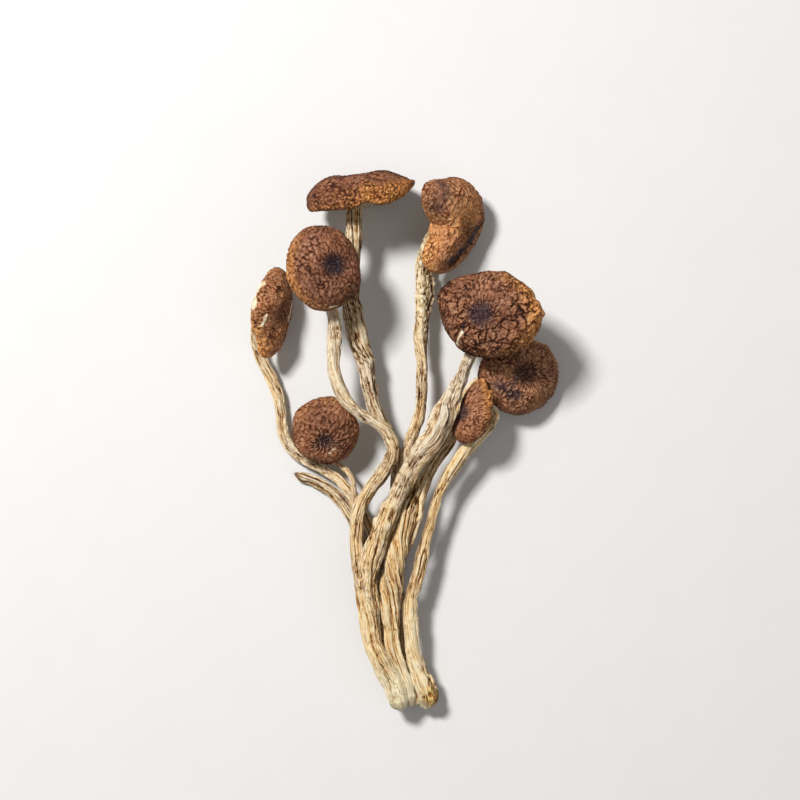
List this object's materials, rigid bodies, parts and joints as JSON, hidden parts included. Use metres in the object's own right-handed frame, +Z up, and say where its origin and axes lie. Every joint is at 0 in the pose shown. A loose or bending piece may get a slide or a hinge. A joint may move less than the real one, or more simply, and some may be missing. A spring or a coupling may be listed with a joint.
{
  "type": "dried tea tree mushroom cluster",
  "caption": "Cluster of dried tea tree mushrooms lying on its side: wrinkled brown caps on long fluted tan stems, fused at a pale foot.",
  "frame": {"origin": "on the surface the cluster rests on, under the middle of its bounding box", "axes": "+Y from the foot to the caps, +X to the right seen from above, +Z up from the resting surface"},
  "size_m": [0.0939, 0.1623, 0.0335],
  "materials": {
    "foot_flesh": "matte, pale and fibrous",
    "stem_flesh": "matte, dry and fibrous",
    "cap_skin": "matte, finely wrinkled dry skin",
    "gill_flesh": "matte, pleated"
  },
  "bodies": {
    "root": {"foot": "foot_flesh", "stem_1": "stem_flesh", "stem_2": "stem_flesh", "stem_3": "stem_flesh", "stem_4": "stem_flesh", "stem_5": "stem_flesh", "stem_6": "stem_flesh", "stem_7": "stem_flesh", "stem_8": "stem_flesh", "broken_stem": "stem_flesh", "cap_1": "cap_skin", "cap_2": "cap_skin", "cap_3": "cap_skin", "cap_4": "cap_skin", "cap_5": "cap_skin", "cap_6": "cap_skin", "cap_7": "cap_skin", "cap_8": "cap_skin", "gills_1": "gill_flesh", "gills_2": "gill_flesh", "gills_3": "gill_flesh", "gills_4": "gill_flesh", "gills_5": "gill_flesh", "gills_6": "gill_flesh", "gills_7": "gill_flesh", "gills_8": "gill_flesh"}
  },
  "joints": []
}
